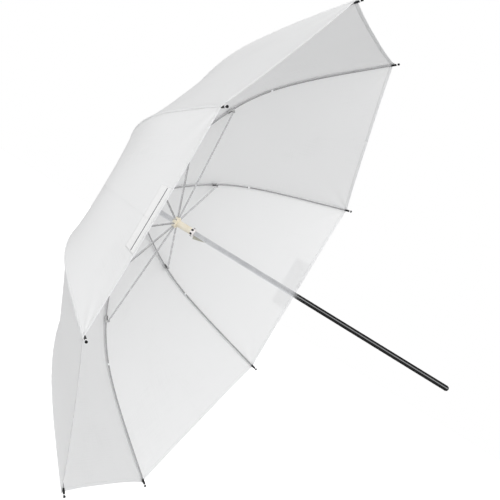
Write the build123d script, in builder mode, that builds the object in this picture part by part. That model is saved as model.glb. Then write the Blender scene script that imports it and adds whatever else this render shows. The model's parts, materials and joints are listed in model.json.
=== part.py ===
"""Shallow white shoot-through umbrella reflector on an 8 mm shaft, shown open.

Row frame, in mm: the origin is on the shaft's axis, where a light holder grips it. +X runs along
the shaft to its free end, so the canopy's crown is at -X, and +Z is up. Eight ribs stand round
the shaft, half a step off the Y and Z axes, so four of the canopy's flats face Y and Z.

Each rib turns on a wire in the notch. Its stretcher reaches from a clip on the rib to a wire in
the runner. The rib's inner length and the stretcher are equally long and their pivots stand
equally far from the axis, so the runner travels along the shaft as the ribs fold.
"""

from build123d import *
from math import acos, asin, atan2, copysign, cos, degrees, hypot, pi, radians, sin
import os

# driving dimensions
RIB_COUNT = 8
TIP_R = 425.0  # from the shaft's axis to the end of each rib tip
RIM_X = -260.0  # plane of the rib tips
NOTCH_X = -470.0  # plane of the ribs' pivots in the notch
PIVOT_R = 7.0  # from the shaft's axis to every pivot in the notch and the runner
BEND = (-436.0, 250.0)  # (x, r) where the tangents at the rib's two ends cross
CLIP_SHARE = 0.40  # share of the rib's curve at which the stretcher's clip sits
CLIP_DROP = 4.0  # from the rod's centre to the stretcher's pivot in the clip
ROD_R = 1.1
SHAFT_R = 4.0
SHAFT_BORE_R = 3.4
SHAFT_TOP_X = -476.0
SHAFT_END_X = 84.0
GRIP_START_X = -26.0  # the index groove, past which a holder may grip
GROOVE_W = 1.5
GROOVE_DEPTH = 0.25
CAP_R = 3.6
PLUG_L = 9.0  # length of the end cap inside the tube

# eyes, tongues and the pins in them
EYE_R = 1.5
EYE_HOLE_R = 0.75
TONGUE_T = 1.6
TONGUE_H = 2.0
NECK = 5.0  # from a pivot to where the round rod or the channel starts
WIRE_R = 0.5
WIRE_PLAY = 0.04
SLOT_W = 2.0  # width of the slots in the hubs and of the gap in the clips

# clips on the ribs
CHEEK_T = 0.6
CHEEK_R = 2.0
CLIP_L = 8.5  # from the bow pivot back along the rib
CLIP_SLEEVE_L = 5.9
RIVET_R = 0.7
RIVET_HEAD = 0.4  # how far a rivet stands out of its cheek
BOW_PIN_R = 0.6
BOW_HOLE_R = 0.66

# tip caps on the ribs
TIP_CAP_L = 14.0
TIP_BALL_R = 2.0
TIP_WAIST_R = 1.4

# stretchers: a folded channel, open towards the canopy
CHANNEL_W = 2.3
CHANNEL_H = 2.0
CHANNEL_BORE = (1.5, 1.4)

# notch, crown cap and runner
NOTCH_R = 9.5
NOTCH_TOP_X = -477.0
NOTCH_FACE_X = -466.5
SLOT_FLOOR_R = 5.2
RUNNER_BORE_R = 4.06
RING_R = 8.6
RING_BEHIND = 3.4  # from the runner's pivots to the ring's closed face
RING_AHEAD = 3.2
CROWN_CAP_R = 9.0
CROWN_TOP_R = 4.6
CROWN_TOP_X = -485.0
SLEEVE_R = 5.3
SLEEVE_NECK_R = 4.9
SLEEVE_L = 25.0
COLLAR_R = 6.1
COLLAR_L = 6.5

# latch
LATCH_L = 22.0  # from its nose, just under the runner, to its cross pin inside the shaft
LATCH_PIN_Z = -2.0
LATCH_PROUD = 4.3  # height of the nose over the shaft's surface
LATCH_W = 2.0
LATCH_PIN_R = 0.7
LATCH_PIN_L = 5.8

# canopy
CLOTH_T = 1.0
CROWN_X = -478.0  # the cloth lies on the notch's top
CLOTH_BEND = (-439.0, 251.0)
CLOTH_END = (-262.0, 427.0)
CLOTH_FROM = 0.0137  # shares of the cloth's curve, from the crown's cap to the hem
CLOTH_TO = 0.988
GORE_GAP = 0.3

STEP = 360.0 / RIB_COUNT


def rib_point(t):
    """(x, r) on the rib's centreline, a cubic Bezier whose two middle points are both BEND."""
    a, b, c = (1 - t) ** 3, 3 * t * (1 - t), t**3
    return (a * NOTCH_X + b * BEND[0] + c * RIM_X, a * PIVOT_R + b * BEND[1] + c * TIP_R)


def rib_slope(t):
    """The derivative of rib_point by t."""
    a, b, c = 3 * (1 - t) ** 2, 3 - 6 * t, 3 * t**2
    return (
        -a * NOTCH_X + b * BEND[0] + c * RIM_X,
        -a * PIVOT_R + b * BEND[1] + c * TIP_R,
    )


def rib_speed(t):
    return hypot(*rib_slope(t))


def rib_curve(t0, t1):
    """The four control points of the rib's centreline between two shares of it."""
    p0, p3 = rib_point(t0), rib_point(t1)
    d0, d3 = rib_slope(t0), rib_slope(t1)
    third = (t1 - t0) / 3
    p1 = (p0[0] + third * d0[0], p0[1] + third * d0[1])
    p2 = (p3[0] - third * d3[0], p3[1] - third * d3[1])
    return (p0, p1, p2, p3)


def along(point, direction, distance):
    """The point at a distance from another, in a direction given as any (x, r) vector."""
    length = hypot(*direction)
    return (
        point[0] + distance * direction[0] / length,
        point[1] + distance * direction[1] / length,
    )


NOTCH_PIVOT = (NOTCH_X, PIVOT_R)
BOW_PIVOT = rib_point(CLIP_SHARE)
BOW_SLOPE = rib_slope(CLIP_SHARE)
CLIP_PIVOT = along(BOW_PIVOT, (BOW_SLOPE[1], -BOW_SLOPE[0]), CLIP_DROP)
RUNNER_X = 2 * CLIP_PIVOT[0] - NOTCH_X
RUNNER_PIVOT = (RUNNER_X, PIVOT_R)
LINK_L = hypot(CLIP_PIVOT[0] - NOTCH_X, CLIP_PIVOT[1] - PIVOT_R)
TIP_SLOPE = rib_slope(1.0)
TIP_END = rib_point(1.0)
RING_FACE_X = RUNNER_X + RING_BEHIND
SLEEVE_END_X = RING_FACE_X + SLEEVE_L
LATCH_NOSE_X = SLEEVE_END_X + COLLAR_L + 0.5
LATCH_PIVOT = (LATCH_NOSE_X + LATCH_L, LATCH_PIN_Z)


def rib_angle(number):
    return STEP * (number - 0.5)


def plane_at(angle):
    """The half plane through the shaft's axis at an angle from +Y: local x is X, local y is out."""
    turn = radians(angle)
    return Plane(origin=(0, 0, 0), x_dir=(1, 0, 0), z_dir=(0, -sin(turn), cos(turn)))


def in_row(plane, point):
    return plane.from_local_coords((point[0], point[1], 0))


def direction_in_row(plane, direction):
    return plane.from_local_coords((*direction, 0)) - plane.from_local_coords((0, 0, 0))


def bar(start, direction, length, height):
    """A sketch of a straight bar from start, in the sketch's own x and y."""
    middle = along(start, direction, length / 2)
    with Locations(Location(middle, degrees(atan2(direction[1], direction[0])))):
        Rectangle(length, height)


def dome(x, radius, height):
    """The profile of a spherical cap on the axis: from (x, radius) to its top at x + height."""
    ball = (radius**2 + height**2) / (2 * abs(height))
    turn = asin(radius / ball) / 2
    centre = x + height - copysign(ball, height)
    middle = (centre + copysign(ball * cos(turn), height), ball * sin(turn))
    ThreePointArc((x, radius), middle, (x + height, 0))


def finish(piece, name):
    piece.part.label = name
    export_step(piece.part, f"parts/{name}.step")


# ---------------------------------------------------------------- shaft
def shaft_tube():
    """A steel tube with the latch's slot, the holes for its pin and the index groove."""
    with BuildPart() as tube:
        with BuildSketch(Plane.YZ.offset(SHAFT_TOP_X)):
            Circle(SHAFT_R)
            Circle(SHAFT_BORE_R, mode=Mode.SUBTRACT)
        extrude(amount=SHAFT_END_X - SHAFT_TOP_X)
        with BuildSketch(Plane.YZ.offset(GRIP_START_X - GROOVE_W)):
            Circle(SHAFT_R + 1)
            Circle(SHAFT_R - GROOVE_DEPTH, mode=Mode.SUBTRACT)
        extrude(amount=GROOVE_W, mode=Mode.SUBTRACT)
        slot_start, slot_end = LATCH_NOSE_X - 1.0, LATCH_PIVOT[0] + 2.5
        with BuildSketch(Plane.XY.offset(-SHAFT_R - 1)):
            with Locations(((slot_start + slot_end) / 2, 0)):
                Rectangle(slot_end - slot_start, LATCH_W + 0.4)
        extrude(amount=3, mode=Mode.SUBTRACT)
        with BuildSketch(Plane.XZ):
            with Locations(LATCH_PIVOT):
                Circle(LATCH_PIN_R)
        extrude(amount=SHAFT_R, both=True, mode=Mode.SUBTRACT)
    finish(tube, "shaft_tube")


def shaft_end_cap():
    """A domed plug in the free end of the tube."""
    plug_x = SHAFT_END_X - PLUG_L
    rim_x = SHAFT_END_X + 0.8
    dome_h = 2.4
    with BuildPart() as cap:
        with BuildSketch(Plane.XY):
            with BuildLine():
                Polyline(
                    (plug_x, 0),
                    (plug_x, SHAFT_BORE_R),
                    (SHAFT_END_X, SHAFT_BORE_R),
                    (SHAFT_END_X, CAP_R),
                    (rim_x, CAP_R),
                )
                dome(rim_x, CAP_R, dome_h)
                Line((rim_x + dome_h, 0), (plug_x, 0))
            make_face()
        revolve(axis=Axis.X)
    finish(cap, "shaft_end_cap")


def latch_pin():
    """The cross pin that the blade turns on, just inside the tube's surface."""
    with BuildPart() as pin:
        with BuildSketch(Plane.XZ):
            with Locations(LATCH_PIVOT):
                Circle(LATCH_PIN_R)
        extrude(amount=LATCH_PIN_L / 2, both=True)
    finish(pin, "latch_pin")


def latch():
    """A wedge blade: steep towards the runner that it holds, and a long slope for the finger."""
    x, z = LATCH_PIVOT
    nose_z = -SHAFT_R - LATCH_PROUD
    with BuildPart() as blade:
        with BuildSketch(Plane.XZ):
            with BuildLine():
                Polyline(
                    (x, z + EYE_R),
                    (LATCH_NOSE_X, z - 0.7),
                    (LATCH_NOSE_X, nose_z),
                    (LATCH_NOSE_X + 2.5, nose_z),
                    (x, z - EYE_R),
                    (x, z + EYE_R),
                )
            make_face()
            with Locations(LATCH_PIVOT):
                Circle(EYE_R)
                Circle(LATCH_PIN_R + 0.05, mode=Mode.SUBTRACT)
        extrude(amount=LATCH_W / 2, both=True)
        nose = blade.edges().filter_by(Axis.Y).sort_by(Axis.Z)[:2]
        fillet(nose, radius=1.0)
    finish(blade, "latch")


# ---------------------------------------------------------------- hub parts with eight slots
def cut_slots(plane_from, plane_to, floor_r, outer_r):
    """Eight radial slots, open outwards, between two planes across the shaft."""
    for number in range(1, RIB_COUNT + 1):
        with BuildSketch(plane_at(rib_angle(number))) as slot:
            with Locations(((plane_from + plane_to) / 2, (floor_r + outer_r) / 2)):
                Rectangle(abs(plane_to - plane_from), outer_r - floor_r)
        extrude(slot.sketch, amount=SLOT_W / 2, both=True, mode=Mode.SUBTRACT)


def cut_wire_groove(pivot_x, face_x):
    """A ring groove from a face down to the wire that lies at its bottom."""
    groove_r = WIRE_R + WIRE_PLAY
    bottom = pivot_x - copysign(groove_r, face_x - pivot_x)
    with BuildSketch(Plane.XY) as groove:
        with Locations(((bottom + face_x) / 2, PIVOT_R)):
            Rectangle(abs(face_x - bottom), 2 * groove_r)
    revolve(groove.sketch, axis=Axis.X, mode=Mode.SUBTRACT)


def wire(name, pivot_x):
    """A closed ring of wire round the shaft, the hinge pin of eight eyes."""
    with BuildPart() as ring:
        with BuildSketch(Plane.XY):
            with Locations((pivot_x, PIVOT_R)):
                Circle(WIRE_R)
        revolve(axis=Axis.X)
    finish(ring, name)


def notch():
    """The hub fixed on top of the shaft, which the ribs turn in."""
    with BuildPart() as hub:
        with BuildSketch(Plane.XY):
            with Locations(((NOTCH_TOP_X + NOTCH_FACE_X) / 2, (SHAFT_R + NOTCH_R) / 2)):
                Rectangle(NOTCH_FACE_X - NOTCH_TOP_X, NOTCH_R - SHAFT_R)
        revolve(axis=Axis.X)
        rims = hub.edges().filter_by(GeomType.CIRCLE).filter_by(lambda e: e.radius > NOTCH_R - 0.1)
        chamfer(rims, length=0.8)
        with BuildSketch(Plane.YZ.offset(NOTCH_FACE_X)):
            Circle(SLOT_FLOOR_R)
            Circle(SHAFT_R, mode=Mode.SUBTRACT)
        extrude(amount=8)
        cut_slots(NOTCH_X - 3.0, NOTCH_FACE_X + 1, SLOT_FLOOR_R, NOTCH_R + 1)
        cut_wire_groove(NOTCH_X, NOTCH_FACE_X)
    finish(hub, "notch")


def crown_cap():
    """The cap that clamps the cloth on the notch, with a stem in the tube."""
    under = CROWN_X - 0.4
    edge = under - 1.2
    dome_h = 1.6
    dome_x = CROWN_TOP_X + dome_h
    with BuildPart() as cap:
        with BuildSketch(Plane.XY):
            with BuildLine():
                Polyline(
                    (CROWN_TOP_X, 0),
                    (NOTCH_X, 0),
                    (NOTCH_X, SHAFT_BORE_R),
                    (under, SHAFT_BORE_R),
                    (under, CROWN_CAP_R),
                    (edge, CROWN_CAP_R),
                    (dome_x, CROWN_TOP_R),
                )
                dome(dome_x, CROWN_TOP_R, -dome_h)
            make_face()
        revolve(axis=Axis.X)
    finish(cap, "crown_cap")


def runner_ring():
    """The notched ring at the top of the runner, which the stretchers turn in."""
    front = RUNNER_X - RING_AHEAD
    with BuildPart() as ring:
        with BuildSketch(Plane.XY):
            with Locations(((front + RING_FACE_X) / 2, (SLEEVE_NECK_R + RING_R) / 2)):
                Rectangle(RING_FACE_X - front, RING_R - SLEEVE_NECK_R)
        revolve(axis=Axis.X)
        rims = ring.edges().filter_by(GeomType.CIRCLE).filter_by(lambda e: e.radius > RING_R - 0.1)
        chamfer(rims, length=0.6)
        cut_slots(front - 1, RUNNER_X + 1.9, SLOT_FLOOR_R, RING_R + 1)
        cut_wire_groove(RUNNER_X, front)
    finish(ring, "runner_ring")


def runner_sleeve():
    """The tube that slides on the shaft, with a thinner neck inside the notched ring."""
    front = RUNNER_X - RING_AHEAD
    with BuildPart() as sleeve:
        with BuildSketch(Plane.XY):
            with BuildLine():
                Polyline(
                    (front, RUNNER_BORE_R),
                    (front, SLEEVE_NECK_R),
                    (RING_FACE_X, SLEEVE_NECK_R),
                    (RING_FACE_X, SLEEVE_R),
                    (SLEEVE_END_X, SLEEVE_R),
                    (SLEEVE_END_X, RUNNER_BORE_R),
                    (front, RUNNER_BORE_R),
                )
            make_face()
        revolve(axis=Axis.X)
    finish(sleeve, "runner_sleeve")


def runner_collar():
    """The white thumb collar under the sleeve."""
    end = SLEEVE_END_X + COLLAR_L
    with BuildPart() as collar:
        with BuildSketch(Plane.XY):
            with Locations(((SLEEVE_END_X + end) / 2, (RUNNER_BORE_R + COLLAR_R) / 2)):
                Rectangle(COLLAR_L, COLLAR_R - RUNNER_BORE_R)
        revolve(axis=Axis.X)
        rims = collar.edges().filter_by(GeomType.CIRCLE).filter_by(lambda e: e.radius > COLLAR_R - 0.1)
        fillet(rims, radius=0.9)
    finish(collar, "runner_collar")


# ---------------------------------------------------------------- ribs
def eye_on(plane, pivot, direction, hole_r, length=NECK + 2.5):
    """A flat tongue along a direction, with a round eye at its pivot."""
    with BuildSketch(plane) as eye:
        bar(pivot, direction, length, TONGUE_H)
        with Locations(pivot):
            Circle(EYE_R)
            Circle(hole_r, mode=Mode.SUBTRACT)
    extrude(eye.sketch, amount=TONGUE_T / 2, both=True)


def rod_on(plane, t0, t1):
    """A round rod along the rib's centreline between two shares of it."""
    with BuildLine(plane) as path:
        Bezier(*rib_curve(t0, t1))
    with BuildSketch(Plane(origin=path.line @ 0, z_dir=path.line % 0)) as end:
        Circle(ROD_R)
    sweep(end.sketch, path=path.line)


def rib(number):
    """The rib's inner length, from its eye in the notch to the stretcher's clip."""
    plane = plane_at(rib_angle(number))
    start = NECK / rib_speed(0)
    end = CLIP_SHARE - 2.4 / rib_speed(CLIP_SHARE)
    with BuildPart() as inner:
        eye_on(plane, NOTCH_PIVOT, rib_slope(0), EYE_HOLE_R)
        rod_on(plane, start, end)
        foot = rib_point(start)
        ferrule = Plane(origin=in_row(plane, foot), z_dir=direction_in_row(plane, rib_slope(0)))
        with BuildSketch(ferrule):
            Circle(ROD_R + 0.5)
        extrude(amount=9)
    finish(inner, f"rib_{number}")


def rib_clip(number):
    """Two cheeks and a sleeve on the rod, with the pins that the outer rib and the stretcher turn on."""
    plane = plane_at(rib_angle(number))
    back = (-BOW_SLOPE[0], -BOW_SLOPE[1])
    drop = (BOW_SLOPE[1], -BOW_SLOPE[0])
    gap = SLOT_W / 2
    with BuildPart() as clip:
        for side in (1, -1):
            with BuildSketch(plane.offset(side * gap)):
                with Locations(BOW_PIVOT, CLIP_PIVOT):
                    Circle(CHEEK_R)
                bar(BOW_PIVOT, drop, CLIP_DROP, 2 * CHEEK_R)
                bar(BOW_PIVOT, back, CLIP_L, 2 * CHEEK_R)
            extrude(amount=side * CHEEK_T)
        sleeve_start = in_row(plane, along(BOW_PIVOT, back, CLIP_L))
        forward = direction_in_row(plane, BOW_SLOPE)
        with BuildSketch(Plane(origin=sleeve_start, z_dir=forward)):
            Circle(ROD_R + 0.8)
        extrude(amount=CLIP_SLEEVE_L)
        with BuildSketch(Plane(origin=sleeve_start - forward.normalized(), z_dir=forward)):
            Circle(ROD_R + 0.12)
        extrude(amount=CLIP_SLEEVE_L + 1.3, mode=Mode.SUBTRACT)
        with BuildSketch(plane):
            with Locations(BOW_PIVOT):
                Circle(BOW_PIN_R)
            with Locations(CLIP_PIVOT):
                Circle(RIVET_R)
        extrude(amount=gap + CHEEK_T + RIVET_HEAD, both=True)
    finish(clip, f"rib_clip_{number}")


def rib_end(number):
    """The rib's outer length, which springs straight when the canopy is let go."""
    plane = plane_at(rib_angle(number))
    start = CLIP_SHARE + 4.2 / rib_speed(CLIP_SHARE)
    end = 1 - 6.6 / rib_speed(1)
    with BuildPart() as outer:
        eye_on(plane, BOW_PIVOT, BOW_SLOPE, BOW_HOLE_R, length=NECK + 1.5)
        rod_on(plane, start, end)
    finish(outer, f"rib_end_{number}")


def rib_tip(number):
    """The cap on the rib's end: a socket, a waist for the stitches and a ball."""
    plane = plane_at(rib_angle(number))
    outward = direction_in_row(plane, TIP_SLOPE).normalized()
    start = in_row(plane, TIP_END) - outward * TIP_CAP_L
    dome_h = 1.8
    ball = TIP_CAP_L - dome_h
    with BuildPart() as tip:
        with BuildSketch(Plane(origin=start, x_dir=outward, z_dir=plane.z_dir)):
            with BuildLine():
                Polyline(
                    (0, 0),
                    (0, ROD_R + 0.45),
                    (7.5, ROD_R + 0.6),
                    (9.0, TIP_WAIST_R),
                    (ball - 1.0, TIP_WAIST_R),
                    (ball, TIP_BALL_R),
                )
                dome(ball, TIP_BALL_R, dome_h)
                Line((TIP_CAP_L, 0), (0, 0))
            make_face()
        revolve(axis=Axis(start, outward))
        with BuildSketch(Plane(origin=start, z_dir=outward)):
            Circle(ROD_R + 0.03)
        extrude(amount=8, mode=Mode.SUBTRACT)
    finish(tip, f"rib_tip_{number}")


def stretcher(number):
    """A folded steel channel with a flat eye at each end."""
    plane = plane_at(rib_angle(number))
    run = (RUNNER_PIVOT[0] - CLIP_PIVOT[0], RUNNER_PIVOT[1] - CLIP_PIVOT[1])
    back = (-run[0], -run[1])
    with BuildPart() as strut:
        eye_on(plane, CLIP_PIVOT, run, EYE_HOLE_R)
        eye_on(plane, RUNNER_PIVOT, back, EYE_HOLE_R)
        outward = direction_in_row(plane, run)
        start = in_row(plane, along(CLIP_PIVOT, run, NECK))
        with BuildSketch(Plane(origin=start, x_dir=plane.z_dir, z_dir=outward)) as channel:
            Rectangle(CHANNEL_W, CHANNEL_H)
            with Locations((0, (CHANNEL_H - CHANNEL_BORE[1]) / 2)):
                Rectangle(*CHANNEL_BORE, mode=Mode.SUBTRACT)
        extrude(amount=LINK_L - 2 * NECK)
    finish(strut, f"stretcher_{number}")


# ---------------------------------------------------------------- canopy
def cloth_curve(t0, t1, flat):
    """Control points of the cloth's curve between two shares of it, with r times flat."""
    ends = ((CROWN_X, 0.0), CLOTH_BEND, CLOTH_BEND, CLOTH_END)

    def at(t):
        w = ((1 - t) ** 3, 3 * t * (1 - t) ** 2, 3 * t * t * (1 - t), t**3)
        return [sum(k * p[i] for k, p in zip(w, ends)) for i in (0, 1)]

    def slope(t):
        w = (-3 * (1 - t) ** 2, 0, 3 * (1 - 2 * t), 3 * t * t)
        return [w[0] * ends[0][i] + w[2] * ends[1][i] + w[3] * ends[3][i] for i in (0, 1)]

    p0, p3, d0, d3 = at(t0), at(t1), slope(t0), slope(t1)
    third = (t1 - t0) / 3
    p1 = [p0[i] + third * d0[i] for i in (0, 1)]
    p2 = [p3[i] - third * d3[i] for i in (0, 1)]
    return [(p[0], p[1] * flat) for p in (p0, p1, p2, p3)]


def canopy(number):
    """The cloth on one rib: half a gore each side of it, each flat from rib to rib."""
    half = STEP / 2
    flat = cos(radians(half))
    rib_side = plane_at(rib_angle(number))
    middle = plane_at(rib_angle(number) + half)
    inside = cloth_curve(CLOTH_FROM, CLOTH_TO, flat)
    outside = [(x - CLOTH_T, r) for x, r in inside]
    with BuildPart() as cloth:
        with BuildSketch(middle.offset(-GORE_GAP / 2)):
            with BuildLine():
                Bezier(*inside)
                Line(inside[3], outside[3])
                Bezier(*reversed(outside))
                Line(outside[0], inside[0])
            make_face()
        extrude(amount=-TIP_R * sin(radians(half)) - 10)
        split(bisect_by=rib_side, keep=Keep.TOP)
        mirror(about=rib_side)
    finish(cloth, f"canopy_{number}")


def main():
    os.makedirs("parts", exist_ok=True)
    shaft_tube()
    shaft_end_cap()
    latch_pin()
    latch()
    notch()
    wire("notch_wire", NOTCH_X)
    crown_cap()
    runner_ring()
    wire("runner_wire", RUNNER_X)
    runner_sleeve()
    runner_collar()
    for number in range(1, RIB_COUNT + 1):
        rib(number)
        rib_clip(number)
        rib_end(number)
        rib_tip(number)
        stretcher(number)
        canopy(number)
    open_angle = degrees(acos((CLIP_PIVOT[0] - NOTCH_X) / LINK_L))
    print(f"links {LINK_L:.3f} long, {open_angle:.3f} degrees from the shaft")
    print(f"bow pivot {BOW_PIVOT}, clip pivot {CLIP_PIVOT}, runner pivots at x {RUNNER_X:.3f}")


main()
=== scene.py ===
"""The looks of a white shoot-through umbrella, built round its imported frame.

Metres, in the row frame: the shaft runs along X with the crown at -X, and +Z is up. Rib number k
stands at (k - 0.5) eighths of a turn, from +Y towards +Z.

The canopy's shape is one function, cloth(), of a rib's angle, a distance d along the rib from the
crown, and a place v across the two half gores beside that rib: -1 and 1 are the middles of the
gores, 0 is the rib. Cloth, seams, hem, stitches and patches are all laid on it.
"""

import json
from math import cos, pi, radians, sin

import bpy
import numpy as np
from mathutils import Matrix, Vector

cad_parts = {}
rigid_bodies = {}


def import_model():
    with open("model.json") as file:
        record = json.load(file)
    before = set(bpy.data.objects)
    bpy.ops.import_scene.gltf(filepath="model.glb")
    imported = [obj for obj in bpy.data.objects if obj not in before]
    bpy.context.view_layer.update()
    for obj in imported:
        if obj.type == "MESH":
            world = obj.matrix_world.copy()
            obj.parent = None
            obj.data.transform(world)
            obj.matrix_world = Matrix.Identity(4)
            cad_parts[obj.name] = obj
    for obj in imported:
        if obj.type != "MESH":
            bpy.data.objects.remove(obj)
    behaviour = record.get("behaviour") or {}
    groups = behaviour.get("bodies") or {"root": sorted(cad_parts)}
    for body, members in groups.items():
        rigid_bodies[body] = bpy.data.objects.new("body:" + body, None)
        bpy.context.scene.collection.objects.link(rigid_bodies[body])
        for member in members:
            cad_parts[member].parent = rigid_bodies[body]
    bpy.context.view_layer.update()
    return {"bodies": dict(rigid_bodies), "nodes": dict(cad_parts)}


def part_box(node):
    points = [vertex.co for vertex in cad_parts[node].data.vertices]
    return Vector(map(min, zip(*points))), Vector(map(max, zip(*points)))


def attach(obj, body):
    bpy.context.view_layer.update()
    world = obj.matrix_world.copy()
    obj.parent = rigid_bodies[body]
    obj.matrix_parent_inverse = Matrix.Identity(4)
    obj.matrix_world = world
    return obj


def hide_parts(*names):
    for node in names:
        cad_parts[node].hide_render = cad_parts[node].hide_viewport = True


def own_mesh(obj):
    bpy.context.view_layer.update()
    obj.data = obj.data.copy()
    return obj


MM = 0.001

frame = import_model()

# ---------------------------------------------------------------- sizes
RIBS = sum(name.startswith("rib_end_") for name in frame["bodies"])
STEP = 2 * pi / RIBS
HALF = STEP / 2

# the cloth's line over a rib, in the plane of that rib: (x, r) of a cubic Bezier whose two middle
# points are the same
CROWN = (-0.4785, 0.0)
BEND = (-0.4395, 0.251)
RIM = (-0.2625, 0.427)
RIB_START = (-0.470, 0.007)
RIB_BEND = (-0.436, 0.250)
RIB_END = (-0.260, 0.425)
CLOTH_START = 9.5 * MM  # from the crown, along the line
HEM_SHARE = 0.988
CLIP_SHARE = 0.4
SAG = 3.9 * MM  # how far a gore's middle is pulled in from the flat between its ribs
HEM_CURVE = 3.1 * MM  # how far the cut of the hem is hollow between two tips
PUCKER = 0.16 * MM
PUCKER_PITCH = 13 * MM
PUCKER_REACH = 9 * MM
FOLD = 0.55 * MM  # height of the tension folds that fan out from each tip
FOLD_REACH = 70 * MM
DRIFT = 0.9 * MM  # slow unevenness of the whole cloth

SEAM_W = 5.0 * MM
SEAM_T = 0.40 * MM
HEM_W = 5.0 * MM
HEM_T = 0.25 * MM
STITCH_L = 2.6 * MM
STITCH_PITCH = 3.6 * MM
STITCH_W = 0.45 * MM
STITCH_H = 0.30 * MM
LABEL_L = 92 * MM
LABEL_W = 34 * MM
LABEL_T = 0.22 * MM
TIE_SHARE = 0.60  # of the rib's line, where the cloth is tied to the rib
TIE_R = 1.6 * MM

CAMERA_AT = (0.286, -1.818, 0.068)
CAMERA_AIM = (-0.265, 0.0, 0.022)
CAMERA_ROLL = radians(-31)  # from upright, towards the camera's right
CAMERA_LENS = 93.0
FLOOR_Z = -0.62
# The surroundings glow softly from a few sides. Most comes from high over the shaft's free end,
# where it falls into the open canopy, and some from the camera's side. Little comes from behind
# the crown, so the canopy's upper gore, which faces down, stays the darkest.
AROUND = 0.50
IN_MIRRORS = 0.025  # the surroundings as polished metal reflects them
OVER_SHAFT = ((1, -1, 1), 1.2)
CAMERA_SIDE = ((0, -1, 0), 1.0)
BEHIND_CROWN = ((-1, -1, 0), 0.4)


# ---------------------------------------------------------------- the canopy's surface
def line_at(u):
    """(x, r) on the cloth's line at a share u of the Bezier: the ends weigh (1-u)^3 and u^3."""
    a, b, c = (1 - u) ** 3, 3 * u * (1 - u), u**3
    return a * CROWN[0] + b * BEND[0] + c * RIM[0], a * CROWN[1] + b * BEND[1] + c * RIM[1]


SHARES = np.linspace(0.0, 1.02, 3000)
_x, _r = line_at(SHARES)
DISTANCES = np.concatenate([[0.0], np.cumsum(np.hypot(np.diff(_x), np.diff(_r)))])


def distance_of(share):
    return float(np.interp(share, SHARES, DISTANCES))


HEM_D = distance_of(HEM_SHARE)
CLIP_D = distance_of(CLIP_SHARE)


def rib_angle(number):
    return STEP * (number - 0.5)


def across_rib(number):
    """The unit vector across a rib's plane, towards the next rib."""
    angle = rib_angle(number)
    return (0.0, -sin(angle), cos(angle))


def swell(v):
    """0 at the rib and 1 in the middle of the gore, where it is level."""
    return 1 - (1 - np.minimum(np.abs(v), 2 - np.abs(v))) ** 3


def cloth(angle, d, v):
    """Points of the cloth. The line over the rib is carried along the straight chord to the gore's
    middle. Off that flat, along the line's own normal, it is pulled in by SAG towards the middle,
    and it rises and falls by the puckers beside the seam, by folds that fan out from the tip, and
    by a slow drift made of sines of the place itself."""
    u = np.interp(d, DISTANCES, SHARES)
    x, r = line_at(u)
    x_on, r_on = line_at(u + 1e-4)
    slope = np.hypot(x_on - x, r_on - r)
    out_x, out_r = -(r_on - r) / slope, (x_on - x) / slope
    chord = np.abs(v) * sin(HALF) * r
    radial = r - chord * sin(HALF)
    side = np.sign(v) * chord * cos(HALF)
    y = radial * cos(angle) - side * sin(angle)
    z = radial * sin(angle) + side * cos(angle)

    pull = -SAG * swell(v) * np.sin(pi * np.clip(0.06 + 0.62 * u, 0, 1))
    quiet = 1 - np.clip(np.abs(v), 0, 1) ** 4
    pucker = PUCKER * np.exp(-chord / PUCKER_REACH) * np.sin(2 * pi * d / PUCKER_PITCH) * quiet
    back = np.maximum(HEM_D - d, 0.0)
    away = np.hypot(back, chord)
    turn = np.arctan2(chord, back + 1e-6)
    fade = np.exp(-away / FOLD_REACH) * (1 - np.exp(-away / (9 * MM)))
    fan = FOLD * fade * np.cos(9 * turn) * quiet
    drift = DRIFT * np.sin(pi * np.clip(u, 0, 1)) * (
        np.sin(23 * y + 11 * z + 1.3) + 0.6 * np.sin(37 * z - 19 * y + 40 * x) + 0.4 * np.sin(61 * y + 0.4)
    )
    lift = pull + pucker + fan + drift * 0.5
    return np.stack(
        [
            x + lift * out_x,
            y + lift * out_r * cos(angle),
            z + lift * out_r * sin(angle),
        ],
        axis=-1,
    )


def cloth_frame(angle, d, v):
    """Points of the cloth with the outward normal and the unit vector away from the crown, from
    the differences between neighbouring points."""
    d, v = np.broadcast_arrays(np.asarray(d, float), np.asarray(v, float))
    point = cloth(angle, d, v)
    away = cloth(angle, d + 0.2 * MM, v) - cloth(angle, d - 0.2 * MM, v)
    across = cloth(angle, d, v + 2e-3) - cloth(angle, d, v - 2e-3)
    normal = np.cross(across, away)
    normal /= np.linalg.norm(normal, axis=-1, keepdims=True)
    away /= np.linalg.norm(away, axis=-1, keepdims=True)
    return point, normal, away


def chord_at(d):
    """Length from the rib to the middle of the gore."""
    return line_at(np.interp(d, DISTANCES, SHARES))[1] * sin(HALF)


def hem_at(v):
    """Distance from the crown to the hem, which is hollow between two tips."""
    return HEM_D - HEM_CURVE * swell(v)


def clip_at(v):
    """Distance from the crown to the line where the inner and the outer cloth meet. It bows out
    between the ribs, so that it stays close to the axis that the outer rib turns on."""
    return CLIP_D + 15 * MM * swell(v)


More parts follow.
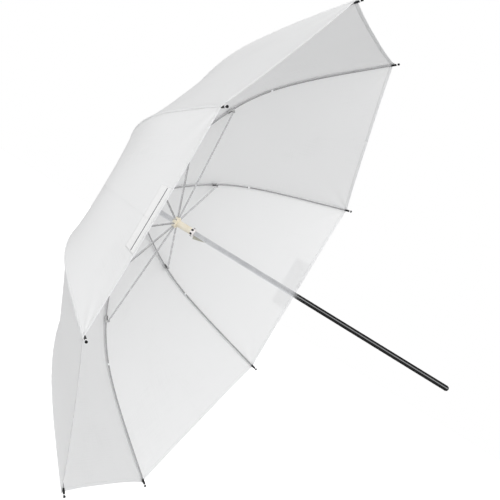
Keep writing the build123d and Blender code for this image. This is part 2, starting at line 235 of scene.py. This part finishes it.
# ---------------------------------------------------------------- meshes
def build(name, points, faces, smooth=True, uv=None, normals=None):
    """A mesh object from an array of points and a list of index arrays, one row for each face."""
    mesh = bpy.data.meshes.new(name)
    points = np.asarray(points, np.float32).reshape(-1, 3)
    loops = np.concatenate([f.ravel() for f in faces]).astype(np.int32)
    sizes = np.concatenate([np.full(len(f), f.shape[1]) for f in faces])
    starts = np.concatenate([[0], np.cumsum(sizes)[:-1]]).astype(np.int32)
    mesh.vertices.add(len(points))
    mesh.vertices.foreach_set("co", points.ravel())
    mesh.loops.add(len(loops))
    mesh.loops.foreach_set("vertex_index", loops)
    mesh.polygons.add(len(starts))
    mesh.polygons.foreach_set("loop_start", starts)
    mesh.polygons.foreach_set("use_smooth", np.full(len(starts), smooth))
    mesh.update(calc_edges=True)
    if uv is not None:
        layer = mesh.uv_layers.new(name="cloth")
        layer.data.foreach_set("uv", np.asarray(uv, np.float32).reshape(-1, 2)[loops].ravel())
    if normals is not None:
        mesh.normals_split_custom_set_from_vertices(np.asarray(normals, float).reshape(-1, 3))
    obj = bpy.data.objects.new(name, mesh)
    bpy.context.scene.collection.objects.link(obj)
    return obj


def grid_faces(rows, columns, offset=0):
    """Quads of a grid whose rows run away from the crown and whose columns run across."""
    i, j = np.meshgrid(np.arange(rows - 1), np.arange(columns - 1), indexing="ij")
    a = (i * columns + j).ravel() + offset
    return np.stack([a, a + 1, a + columns + 1, a + columns], axis=1)


def tube_faces(rings, sides, first=0):
    """Quads round a stack of rings, and the two fans that close it, whose tips are the two points
    after the rings."""
    i, j = np.meshgrid(np.arange(rings - 1), np.arange(sides), indexing="ij")
    a = (i * sides + j).ravel()
    b = (i * sides + (j + 1) % sides).ravel()
    quads = np.stack([a, b, b + sides, a + sides], axis=1) + first
    k = np.arange(sides)
    start = np.stack([(k + 1) % sides, k, np.full(sides, rings * sides)], axis=1) + first
    last = (rings - 1) * sides
    end = np.stack([last + k, last + (k + 1) % sides, np.full(sides, rings * sides + 1)], axis=1)
    return [quads, np.concatenate([start, end + first])]


def facing_out(points, faces):
    """The same faces, turned round if they enclose a negative volume."""
    volume = 0.0
    for f in faces:
        for k in range(1, f.shape[1] - 1):
            a, b, c = points[f[:, 0]], points[f[:, k]], points[f[:, k + 1]]
            volume += float((a * np.cross(b, c)).sum())
    return faces if volume > 0 else [f[:, ::-1] for f in faces]


def loft(name, rings, smooth=True, uv=None):
    """A closed piece through a stack of closed rings, (rings, sides, 3), shut by a fan at each end."""
    count, sides = rings.shape[:2]
    tips = rings[[0, -1]].mean(axis=1)
    points = np.concatenate([rings.reshape(-1, 3), tips])
    if uv is not None:
        uv = np.concatenate([uv.reshape(-1, 2), uv[[0, -1]].mean(axis=1)])
    faces = facing_out(points - points.mean(axis=0), tube_faces(count, sides))
    return build(name, points, faces, smooth, uv)


def bead(rings=5, sides=6):
    """Points and faces of a closed ball of radius 1 along its first axis."""
    t = np.linspace(-0.82, 0.82, rings)
    k = np.arange(sides) * 2 * pi / sides
    wide = np.sqrt(1 - t**2)[:, None]
    ring = np.stack([t[:, None] + 0 * k, wide * np.cos(k), wide * np.sin(k)], axis=-1)
    points = np.concatenate([ring.reshape(-1, 3), [[-1.0, 0, 0], [1.0, 0, 0]]])
    return points, facing_out(points, tube_faces(rings, sides))


def scatter(name, template, centres, axes, sizes):
    """Many copies of one small closed shape as one mesh: each point of the template is stretched
    by sizes and laid along the three axes of each place."""
    points, faces = template
    local = points * np.asarray(sizes)
    placed = centres[:, None, :] + np.einsum("pk,nkc->npc", local, axes)
    shift = np.arange(len(centres))[:, None, None] * len(points)
    return build(name, placed, [(f[None] + shift).reshape(-1, f.shape[1]) for f in faces])


# ---------------------------------------------------------------- nodes of materials
class Finish:
    """A material with a Principled shader, and short ways to add the nodes that feed it."""

    def __init__(self, name, color, roughness, **sockets):
        self.material = bpy.data.materials.new(name)
        self.material.use_nodes = True
        self.tree = self.material.node_tree
        self.shader = self.tree.nodes["Principled BSDF"]
        self.shader.inputs["Base Color"].default_value = (*color, 1)
        self.shader.inputs["Roughness"].default_value = roughness
        for socket, value in sockets.items():
            self.shader.inputs[socket.replace("_", " ")].default_value = value
        self.coords = self.add("ShaderNodeTexCoord")

    def add(self, kind, **settings):
        node = self.tree.nodes.new(kind)
        for key, value in settings.items():
            if key in node.inputs:
                node.inputs[key].default_value = value
            else:
                setattr(node, key, value)
        return node

    def link(self, a, b):
        self.tree.links.new(a, b)
        return b

    def stretched(self, scale, source="Object"):
        """Coordinates stretched by a scale along each axis."""
        mapping = self.add("ShaderNodeMapping")
        mapping.inputs["Scale"].default_value = scale
        self.link(self.coords.outputs[source], mapping.inputs["Vector"])
        return mapping.outputs["Vector"]

    def noise(self, vector, scale, detail=3.0, rough=0.5):
        node = self.add("ShaderNodeTexNoise", Scale=scale, Detail=detail, Roughness=rough)
        self.link(vector, node.inputs["Vector"])
        return node.outputs["Fac"]

    def ranged(self, value, low, high, start=0.0, stop=1.0):
        """A value between start and stop, spread between low and high."""
        node = self.add("ShaderNodeMapRange")
        for key, number in (("From Min", start), ("From Max", stop), ("To Min", low), ("To Max", high)):
            node.inputs[key].default_value = number
        self.link(value, node.inputs["Value"])
        return node.outputs["Result"]

    def math(self, operation, a, b):
        node = self.add("ShaderNodeMath", operation=operation)
        for socket, value in zip(node.inputs, (a, b)):
            if isinstance(value, (int, float)):
                socket.default_value = value
            else:
                self.link(value, socket)
        return node.outputs[0]

    def tint(self, factor, dark, light):
        """The base colour, from dark to light by a factor."""
        mix = self.add("ShaderNodeMix", data_type="RGBA")
        mix.inputs[6].default_value = (*dark, 1)
        mix.inputs[7].default_value = (*light, 1)
        self.link(factor, mix.inputs[0])
        self.link(mix.outputs[2], self.shader.inputs["Base Color"])
        return mix.outputs[2]

    def rough(self, factor, low, high):
        self.link(self.ranged(factor, low, high), self.shader.inputs["Roughness"])

    def bump(self, height, strength, distance):
        node = self.add("ShaderNodeBump", Strength=strength, Distance=distance)
        self.link(height, node.inputs["Height"])
        self.link(node.outputs["Normal"], self.shader.inputs["Normal"])
        return node.outputs["Normal"]


def metal(name, dark, light, low, high, grain=(1.0, 1.0, 1.0), dents=0.004, bare=1.0):
    """Bare or plated metal: fine lines of the drawing die, and cloudy wear in its gloss."""
    f = Finish(name, light, high, Metallic=bare)
    lines = f.noise(f.stretched(grain), 900, 4.0, 0.6)
    clouds = f.noise(f.stretched((1, 1, 1)), 60, 5.0, 0.6)
    worn = f.math("MULTIPLY", lines, clouds)
    f.tint(f.ranged(clouds, 0, 1, 0.3, 0.7), dark, light)
    f.rough(f.ranged(worn, 0, 1, 0.1, 0.45), low, high)
    f.bump(lines, dents, 0.1 * MM)
    return f.material


def moulded(name, dark, light, low, high, texture=700, depth=0.08, **sockets):
    """Moulded plastic: a fine spark-eroded grain and a slight cloudiness in its colour."""
    f = Finish(name, light, high, **sockets)
    grain = f.noise(f.stretched((1, 1, 1)), texture, 3.0, 0.6)
    clouds = f.noise(f.stretched((1, 1, 1)), 90, 4.0, 0.55)
    f.tint(f.ranged(clouds, 0, 1, 0.3, 0.7), dark, light)
    f.rough(f.ranged(grain, 0, 1, 0.3, 0.7), low, high)
    f.bump(grain, depth, 0.15 * MM)
    return f.material


def woven(name, dark, light, through, pitch=0.30 * MM, depth=0.25):
    """Thin woven cloth that light comes through: warp and weft as two crossed waves on the cloth's
    own map in metres, uneven threads, and a slow cloudiness. through is the share of the light
    that it passes on rather than sends back."""
    f = Finish(name, light, 0.62)
    f.shader.inputs["Specular IOR Level"].default_value = 0.25
    f.shader.inputs["Sheen Weight"].default_value = 0.12
    f.shader.inputs["Sheen Roughness"].default_value = 0.5
    split = f.add("ShaderNodeSeparateXYZ")
    f.link(f.coords.outputs["UV"], split.inputs[0])
    waves = [
        f.math("SINE", f.math("MULTIPLY", split.outputs[axis], 2 * pi / pitch), 0)
        for axis in (0, 1)
    ]
    weave = f.math("MULTIPLY", *waves)
    warp = f.noise(f.stretched((1 / (1.5 * MM), 1 / (40 * MM), 1), "UV"), 1.0, 2.0)
    weft = f.noise(f.stretched((1 / (40 * MM), 1 / (1.5 * MM), 1), "UV"), 1.0, 2.0)
    threads = f.math("ADD", warp, weft)
    cloud = f.noise(f.stretched((1, 1, 1)), 7.0, 3.0)
    uneven = f.math("ADD", f.math("MULTIPLY", threads, 0.35), f.math("MULTIPLY", cloud, 0.65))
    color = f.tint(f.ranged(uneven, 0, 1, 0.42, 0.62), dark, light)
    height = f.math("ADD", f.math("MULTIPLY", weave, 0.25), threads)
    normal = f.bump(height, depth, 0.05 * MM)
    glow = f.add("ShaderNodeBsdfTranslucent")
    f.link(color, glow.inputs["Color"])
    f.link(normal, glow.inputs["Normal"])
    mix = f.add("ShaderNodeMixShader")
    mix.inputs[0].default_value = through
    f.link(f.shader.outputs[0], mix.inputs[1])
    f.link(glow.outputs[0], mix.inputs[2])
    f.link(mix.outputs[0], f.tree.nodes["Material Output"].inputs["Surface"])
    return f.material


def yarn(name, dark, light):
    """Spun thread: a twist of fine ridges and a soft sheen."""
    f = Finish(name, light, 0.75)
    f.shader.inputs["Sheen Weight"].default_value = 0.3
    fibres = f.noise(f.stretched((1, 1, 1)), 2600, 3.0, 0.65)
    f.tint(fibres, dark, light)
    f.bump(fibres, 0.4, 0.1 * MM)
    return f.material


CHROME = metal("polished_chrome", (0.74, 0.75, 0.77), (0.86, 0.87, 0.88), 0.04, 0.10, (0.05, 1, 1))
CAP_STEEL = metal("turned_steel", (0.72, 0.73, 0.74), (0.86, 0.87, 0.88), 0.10, 0.22)
WIRE_STEEL = metal("bare_wire", (0.42, 0.42, 0.42), (0.60, 0.60, 0.59), 0.25, 0.45)
RIB_STEEL = metal("drawn_rib_steel", (0.50, 0.50, 0.51), (0.57, 0.57, 0.58), 0.18, 0.30, bare=0.5)
STRUT_STEEL = metal("plated_strut_steel", (0.58, 0.58, 0.59), (0.65, 0.65, 0.66), 0.20, 0.34, bare=0.4)
LATCH_STEEL = metal("olive_spring_steel", (0.50, 0.50, 0.42), (0.68, 0.67, 0.58), 0.30, 0.45)
RIVET_METAL = metal("rivet_nickel", (0.55, 0.55, 0.55), (0.75, 0.75, 0.75), 0.18, 0.30)
CREAM = moulded("cream_runner_plastic", (0.80, 0.73, 0.58), (0.90, 0.85, 0.73), 0.28, 0.42)
COLLAR_WHITE = moulded("white_collar_plastic", (0.86, 0.82, 0.81), (0.93, 0.90, 0.89), 0.25, 0.40)
HUB_PLASTIC = moulded("ivory_hub_plastic", (0.78, 0.75, 0.68), (0.88, 0.86, 0.80), 0.35, 0.50)
BLACK_PLASTIC = moulded("black_tip_plastic", (0.008, 0.008, 0.009), (0.018, 0.018, 0.02), 0.30, 0.48)
CROWN_PLASTIC = moulded("pale_crown_plastic", (0.72, 0.72, 0.71), (0.82, 0.82, 0.81), 0.32, 0.50)
CLOTH_WHITE = woven("white_nylon", (0.80, 0.803, 0.806), (0.84, 0.843, 0.846), 0.27)
# Seams, hem and crown rosette: the same nylon as the cloth, made lighter and more see-through. This is partly
# the real whiteness of a doubled layer. It is also painted light, which takes away the shade the doubled layer
# casts on the cloth inside and leaves a pale line beside each rib.
SEAM_PAINTED_LIGHT = woven("seam_nylon_painted_light", (0.90, 0.903, 0.906), (0.94, 0.943, 0.946), 0.42)
LABEL_SATIN = woven("white_label_satin", (0.86, 0.86, 0.86), (0.91, 0.91, 0.91), 0.20, 0.22 * MM, 0.4)
# The far label is white satin like the near one. Its grey is painted shade: the dimness it has from inside,
# where it stops the light that comes through the cloth.
LABEL_PAINTED_SHADE = woven("satin_grey_painted_shade", (0.46, 0.46, 0.47), (0.54, 0.54, 0.55), 0.02, 0.22 * MM, 0.4)
# A dark strip on each label: painted shadow of a fold near the hem.
LABEL_SHADOW_LINE = woven("label_edge_painted_shadow", (0.10, 0.10, 0.11), (0.16, 0.16, 0.17), 0.05)
THREAD = yarn("white_thread", (0.72, 0.72, 0.73), (0.90, 0.90, 0.90))


# ---------------------------------------------------------------- placing a piece
def dress(obj, material, body):
    """The piece's material and the body that it moves with."""
    obj.data.materials.append(material)
    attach(obj, body)
    return obj


def gather(obj):
    """The piece gets a mesh of its own."""
    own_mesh(obj)


# By default a soft piece wears the seam nylon, whose extra lightness is partly painted light.
def soft(obj, number, outer, material=SEAM_PAINTED_LIGHT):
    """A soft piece on the inner or the outer length of a rib: it moves with it."""
    dress(obj, material, f"rib_end_{number}" if outer else f"rib_{number}")
    gather(obj)
    return obj


# ---------------------------------------------------------------- canopy
def even_across(count):
    """Places across the two half gores, closer together near the rib."""
    t = np.linspace(-1, 1, 2 * count + 1)
    return np.sign(t) * (0.45 * np.abs(t) + 0.55 * np.abs(t) ** 2)


def canopy_cloth(number, outer):
    """One length of the cloth on one rib, as a single sheet: rows from the crown to the clip's
    line, or from there to the hem. Normals come from the surface itself, so that neighbours meet
    without a mark."""
    v = even_across(30)[None, :]
    rows = 130 if outer else 100
    t = np.linspace(0, 1, rows)[:, None]
    near, far = (clip_at(v), hem_at(v)) if outer else (CLOTH_START + 0 * v, clip_at(v))
    d = near + (far - near) * t
    point, normal, _ = cloth_frame(rib_angle(number), d, v)
    uv = np.stack([v * chord_at(d), d], axis=-1)
    name = f"canopy_{'outer' if outer else 'inner'}_{number}"
    piece = build(name, point, [grid_faces(rows, v.shape[1])], uv=uv, normals=normal)
    soft(piece, number, outer, CLOTH_WHITE)
    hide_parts(f"canopy_{number}")


def seam_band(number, outer):
    """The felled seam over a rib: a closed band, thicker along its middle, on the cloth's outside."""
    half = SEAM_W / 2
    side = np.array([-1.0, -0.92, -0.55, -0.12, 0.12, 0.55, 0.92, 1.0, 0.6, -0.6]) * half
    height = np.array([0.05, 0.75, 0.9, 1.25, 1.25, 0.9, 0.75, 0.05, -0.15, -0.15]) * SEAM_T
    start, stop = (CLIP_D, HEM_D + 1.5 * MM) if outer else (24 * MM, CLIP_D)
    d = np.arange(start, stop, 2.6 * MM)
    d = np.append(d, stop)[:, None]
    v = side[None, :] / chord_at(d)
    point, normal, _ = cloth_frame(rib_angle(number), d, v)
    rings = point + normal * height[None, :, None]
    uv = np.stack([np.broadcast_to(side, v.shape), np.broadcast_to(d, v.shape)], axis=-1)
    soft(loft(f"seam_{'outer' if outer else 'inner'}_{number}", rings, uv=uv), number, outer)


def seam_stitches(number, outer):
    """Two rows of lockstitch along the seam."""
    start, stop = (CLIP_D + 2 * MM, HEM_D - 8 * MM) if outer else (27 * MM, CLIP_D - 2 * MM)
    d = np.arange(start, stop, STITCH_PITCH)
    d, side = np.meshgrid(d, np.array([-0.72, 0.72]) * SEAM_W / 2)
    d, side = d.ravel(), side.ravel()
    point, normal, away = cloth_frame(rib_angle(number), d, side / chord_at(d))
    axes = np.stack([away, np.cross(normal, away), normal], axis=1)
    centres = point + normal * (SEAM_T * 0.86)
    sizes = (STITCH_L / 2, STITCH_W / 2, STITCH_H)
    piece = scatter(f"stitches_{'outer' if outer else 'inner'}_{number}", bead(), centres, axes, sizes)
    soft(piece, number, outer, THREAD)


def hem_band(number):
    """The turned hem: a closed band round the cloth's edge, from the middle of one gore to the
    middle of the next."""
    back = np.array([1.0, 0.97, 0.5, 0.08, -0.03, -0.05, -0.03, 0.08, 0.5, 0.97, 1.0]) * HEM_W
    height = np.array([0.15, 1.0, 0.9, 1.0, 0.6, 0.0, -0.6, -1.0, -0.9, -1.0, -0.15]) * HEM_T
    v = even_across(48)[:, None]
    d = hem_at(v) - back[None, :]
    point, normal, _ = cloth_frame(rib_angle(number), d, v)
    rings = point + normal * height[None, :, None]
    uv = np.stack([v * chord_at(d), d], axis=-1)
    soft(loft(f"hem_{number}", rings, uv=uv), number, True)


def hem_stitches(number):
    """The hem's stitches, a row on each face of the cloth."""
    length = 2 * chord_at(HEM_D)
    count = int(length / STITCH_PITCH)
    v = (np.arange(count) + 0.5) / count * 2 - 1
    v = v[np.abs(v) * length / 2 > 5 * MM]
    face = np.repeat([1.0, -1.0], len(v))[:, None]
    v = np.tile(v, 2)
    angle = rib_angle(number)
    d = hem_at(v) - 0.80 * HEM_W
    point, normal, _ = cloth_frame(angle, d, v)
    ahead, _, _ = cloth_frame(angle, hem_at(v + 2e-3) - 0.80 * HEM_W, v + 2e-3)
    forward = ahead - point
    forward /= np.linalg.norm(forward, axis=1, keepdims=True)
    axes = np.stack([forward, np.cross(normal, forward), normal], axis=1)
    centres = point + normal * face * HEM_T * 0.95
    sizes = (STITCH_L / 2, STITCH_W / 2, STITCH_H)
    soft(scatter(f"hem_stitches_{number}", bead(), centres, axes, sizes), number, True, THREAD)


def patch(name, number, side, back_from, back_to, height_from, height_to, length, material):
    """Half of a flat patch sewn near the hem across the middle of a gore, on the cloth's outside:
    a closed band between two distances back from the hem."""
    low, high = min(back_from, back_to), max(back_from, back_to)
    edge = 0.3 * MM
    back = np.array([low, low + edge, high - edge, high, high - edge, low + edge])
    height = np.array([height_from, height_to, height_to, height_from, height_from, height_from])
    if high - low > 10 * MM:
        inner = np.linspace(low + edge, high - edge, 14)
        back = np.concatenate([[low], inner, [high], inner[::-1]])
        height = np.concatenate([[height_from], 0 * inner + height_to, [height_from], 0 * inner + height_from])
    reach = length / 2 / chord_at(HEM_D - 20 * MM)
    v = side * np.linspace(1 - reach, 1, 24)[:, None]
    d = hem_at(v) - back[None, :]
    point, normal, _ = cloth_frame(rib_angle(number), d, v)
    rings = point + normal * height[None, :, None]
    uv = np.stack([v * chord_at(d), d], axis=-1)
    return soft(loft(name, rings, uv=uv), number, True, material)


def label(place, first, second, cloth=LABEL_SATIN):
    """A blank satin label across a gore's middle, half on each rib's cloth, with a dark strip along its hem
    side: painted shadow, the shade of a fold near the hem."""
    for number, side, half in ((first, 1, "a"), (second, -1, "b")):
        patch(
            f"{place}_label_{half}", number, side, 1.5 * MM, 1.5 * MM + LABEL_W, 0.05 * MM,
            LABEL_T, LABEL_L, cloth,
        )
        # The dark strip is painted shadow.
        patch(
            f"{place}_label_shadow_line_{half}", number, side, 14 * MM, 16.2 * MM, LABEL_T * 0.9,
            LABEL_T + 0.12 * MM, LABEL_L - 4 * MM, LABEL_SHADOW_LINE,
        )


# ---------------------------------------------------------------- pieces on the ribs
def rib_line(share):
    """(x, r) on the rib's own centreline, a Bezier as the cloth's is, 4 mm or so inside it."""
    a, b, c = (1 - share) ** 3, 3 * share * (1 - share), share**3
    return tuple(a * RIB_START[i] + b * RIB_BEND[i] + c * RIB_END[i] for i in (0, 1))


def rib_tie(number):
    """Four turns of tape round the rib, which tie the cloth to it: a helix of a flat oval cord."""
    angle = rib_angle(number)
    x, r = rib_line(TIE_SHARE)
    x_on, r_on = rib_line(TIE_SHARE + 1e-4)
    away = np.array([x_on - x, (r_on - r) * cos(angle), (r_on - r) * sin(angle)])
    away /= np.linalg.norm(away)
    across = np.array(across_rib(number))
    out = np.cross(away, across)
    centre = np.array([x, r * cos(angle), r * sin(angle)])
    turn = np.linspace(0, 4 * 2 * pi, 130)
    radius = TIE_R + 0.12 * MM * np.sin(3.3 * turn)
    step = 0.8 * MM * turn / (2 * pi) - 1.6 * MM
    radial = np.outer(np.cos(turn), out) + np.outer(np.sin(turn), across)
    path = centre + radial * radius[:, None] + np.outer(step, away)
    k = np.arange(8) * 2 * pi / 8
    rings = (
        path[:, None, :]
        + radial[:, None, :] * (0.28 * MM * np.cos(k))[None, :, None]
        + away[None, None, :] * (0.48 * MM * np.sin(k))[None, :, None]
    )
    dress(loft(f"rib_tie_{number}", rings), THREAD, f"rib_end_{number}")


def tip_whipping(number):
    """Three turns of thread round the tip's waist."""
    angle = rib_angle(number)
    x, r = rib_line(1.0)
    x_on, r_on = rib_line(0.999)
    away = np.array([x - x_on, (r - r_on) * cos(angle), (r - r_on) * sin(angle)])
    away /= np.linalg.norm(away)
    across = np.array(across_rib(number))
    out = np.cross(away, across)
    waist = np.array([x, r * cos(angle), r * sin(angle)]) - away * 4.6 * MM
    turn = np.linspace(0, 3 * 2 * pi, 96)
    radial = np.outer(np.cos(turn), out) + np.outer(np.sin(turn), across)
    path = waist + radial * (1.65 * MM) + np.outer(0.55 * MM * (turn / (2 * pi) - 1.5), away)
    k = np.arange(6) * 2 * pi / 6
    rings = (
        path[:, None, :]
        + radial[:, None, :] * (0.26 * MM * np.cos(k))[None, :, None]
        + away[None, None, :] * (0.26 * MM * np.sin(k))[None, :, None]
    )
    dress(loft(f"tip_whipping_{number}", rings), THREAD, f"rib_end_{number}")


# ---------------------------------------------------------------- crown and runner
def crown_rosette():
    """A scalloped disc of cloth under the crown's cap, which covers where the gores meet."""
    sides, rows = 96, 8
    k = np.arange(sides) * 2 * pi / sides
    rim = 15.5 * MM + 1.0 * MM * np.cos(RIBS * (k - HALF))
    t = np.linspace(0, 1, rows)
    r = 6 * MM + (rim[:, None] - 6 * MM) * t
    x_line, r_line = line_at(SHARES)
    x = np.interp(r, r_line, x_line) - 0.55 * MM
    rings = []
    for lift in (-0.35 * MM, 0.0):
        rings.append(np.stack([x + lift, r * np.cos(k)[:, None], r * np.sin(k)[:, None]], axis=-1))
    loop = np.concatenate([rings[0], rings[1][:, ::-1]], axis=1)
    n = 2 * rows
    i, j = np.meshgrid(np.arange(sides), np.arange(n), indexing="ij")
    a = (i * n + j).ravel()
    b = (i * n + (j + 1) % n).ravel()
    c = (((i + 1) % sides) * n + (j + 1) % n).ravel()
    e = (((i + 1) % sides) * n + j).ravel()
    points = loop.reshape(-1, 3)
    faces = facing_out(points - points.mean(axis=0), [np.stack([a, b, c, e], axis=1)])
    uv = points[:, 1:3]
    piece = build("crown_rosette", points, faces, uv=uv)
    dress(piece, SEAM_PAINTED_LIGHT, "shaft")


def collar_studs():
    """Black studs round the runner's collar, which hold it on the sleeve."""
    low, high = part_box("runner_collar")
    x = low.x + 2.2 * MM
    count = 6
    k = np.arange(count) * 2 * pi / count + pi / count
    out = np.stack([0 * k, np.cos(k), np.sin(k)], axis=-1)
    along = np.broadcast_to([1.0, 0, 0], out.shape)
    axes = np.stack([along, np.cross(out, along), out], axis=1)
    centres = out * (high.z - 0.15 * MM) + np.array([x, 0, 0])
    piece = scatter("collar_studs", bead(7, 12), centres, axes, (2.1 * MM, 1.9 * MM, 0.7 * MM))
    dress(piece, BLACK_PLASTIC, "runner")


# ---------------------------------------------------------------- CAD nodes
NODE_FINISH = {
    "shaft_tube": CHROME,
    "shaft_end_cap": CAP_STEEL,
    "latch_pin": WIRE_STEEL,
    "latch": LATCH_STEEL,
    "notch": HUB_PLASTIC,
    "notch_wire": WIRE_STEEL,
    "crown_cap": CROWN_PLASTIC,
    "runner_ring": CREAM,
    "runner_wire": WIRE_STEEL,
    "runner_sleeve": CREAM,
    "runner_collar": COLLAR_WHITE,
}
GROUP_FINISH = {
    "rib_clip_": RIVET_METAL,
    "rib_tip_": BLACK_PLASTIC,
    "rib_end_": RIB_STEEL,
    "rib_": RIB_STEEL,
    "stretcher_": STRUT_STEEL,
}


def finish_nodes():
    """Every shown CAD node gets its own procedural finish."""
    for name, obj in frame["nodes"].items():
        material = NODE_FINISH.get(name)
        if material is None:
            material = next((m for start, m in GROUP_FINISH.items() if name.startswith(start)), None)
        if material is not None:
            obj.data.materials.clear()
            obj.data.materials.append(material)


# ---------------------------------------------------------------- studio
def area_light(name, place, towards, size, power):
    data = bpy.data.lights.new(name, "AREA")
    data.shape = "RECTANGLE"
    data.size, data.size_y = size
    data.energy = power
    obj = bpy.data.objects.new(name, data)
    bpy.context.scene.collection.objects.link(obj)
    obj.location = place
    obj.rotation_mode = "QUATERNION"
    obj.rotation_quaternion = (Vector(towards) - Vector(place)).to_track_quat("-Z", "Y")
    return obj


def studio():
    """A pale floor that only the camera sees, soft surroundings that are brighter from three sides
    and that mirrors see as dark, and two large soft lights."""
    size = 9.0
    corners = ((-size, -size), (size, -size), (size, size), (-size, size))
    points = np.array([[x, y, FLOOR_Z] for x, y in corners])
    floor = build("floor", points, [np.array([[0, 1, 2, 3]])])
    pale = Finish("pale_floor", (0.9, 0.9, 0.9), 0.9)
    pale.shader.inputs["Emission Color"].default_value = (1, 1, 1, 1)
    pale.shader.inputs["Emission Strength"].default_value = 0.42
    floor.data.materials.append(pale.material)
    floor.visible_glossy = False
    floor.visible_diffuse = False
    floor.visible_transmission = False

    world = bpy.data.worlds.new("studio")
    bpy.context.scene.world = world
    world.use_nodes = True
    tree = world.node_tree
    back = tree.nodes["Background"]
    path = tree.nodes.new("ShaderNodeLightPath")
    glossy = tree.nodes.new("ShaderNodeMapRange")
    place = tree.nodes.new("ShaderNodeTexCoord")
    total = None
    for towards, gain in (OVER_SHAFT, CAMERA_SIDE, BEHIND_CROWN):
        dot = tree.nodes.new("ShaderNodeVectorMath")
        dot.operation = "DOT_PRODUCT"
        tree.links.new(place.outputs["Generated"], dot.inputs[0])
        dot.inputs[1].default_value = Vector(towards).normalized()
        above = tree.nodes.new("ShaderNodeMath")
        above.operation = "MAXIMUM"
        above.inputs[1].default_value = 0.0
        tree.links.new(dot.outputs["Value"], above.inputs[0])
        square = tree.nodes.new("ShaderNodeMath")
        square.operation = "MULTIPLY"
        for socket in (0, 1):
            tree.links.new(above.outputs[0], square.inputs[socket])
        scaled = tree.nodes.new("ShaderNodeMath")
        scaled.operation = "MULTIPLY_ADD"
        scaled.inputs[1].default_value = gain
        scaled.inputs[2].default_value = AROUND
        tree.links.new(square.outputs[0], scaled.inputs[0])
        if total is not None:
            tree.links.new(total, scaled.inputs[2])
        total = scaled.outputs[0]
    tree.links.new(total, glossy.inputs["To Min"])
    glossy.inputs["To Max"].default_value = IN_MIRRORS
    tree.links.new(path.outputs["Is Glossy Ray"], glossy.inputs["Value"])
    seen = tree.nodes.new("ShaderNodeMix")
    seen.inputs[3].default_value = 1.0
    tree.links.new(path.outputs["Is Camera Ray"], seen.inputs[0])
    tree.links.new(glossy.outputs["Result"], seen.inputs[2])
    tree.links.new(seen.outputs[0], back.inputs["Strength"])
    back.inputs["Color"].default_value = (1, 1, 1, 1)

    area_light("key", (-0.1, -2.6, 0.9), (-0.35, 0, 0), (1.8, 1.8), 3)
    area_light("fill", (1.6, -1.0, 0.6), (-0.3, 0, 0), (0.9, 1.4), 1.5)


def camera():
    data = bpy.data.cameras.new("camera")
    data.lens = CAMERA_LENS
    data.sensor_width = 36.0
    obj = bpy.data.objects.new("camera", data)
    bpy.context.scene.collection.objects.link(obj)
    towards = (Vector(CAMERA_AIM) - Vector(CAMERA_AT)).normalized()
    right = towards.cross(Vector((0, 0, 1))).normalized()
    up = right.cross(towards) * cos(CAMERA_ROLL) + right * sin(CAMERA_ROLL)
    turn = Matrix((towards.cross(up), up, -towards)).transposed()
    obj.matrix_world = Matrix.Translation(CAMERA_AT) @ turn.to_4x4()
    bpy.context.scene.camera = obj


camera()
studio()
finish_nodes()
for number in range(1, RIBS + 1):
    for outer in (False, True):
        canopy_cloth(number, outer)
        seam_band(number, outer)
        seam_stitches(number, outer)
    hem_band(number)
    hem_stitches(number)
    rib_tie(number)
    tip_whipping(number)
label("near", 4, 5)
# The far label's grey satin is painted shade.
label("far", 8, 1, LABEL_PAINTED_SHADE)
crown_rosette()
collar_studs()

bpy.context.scene.view_settings.view_transform = "Standard"
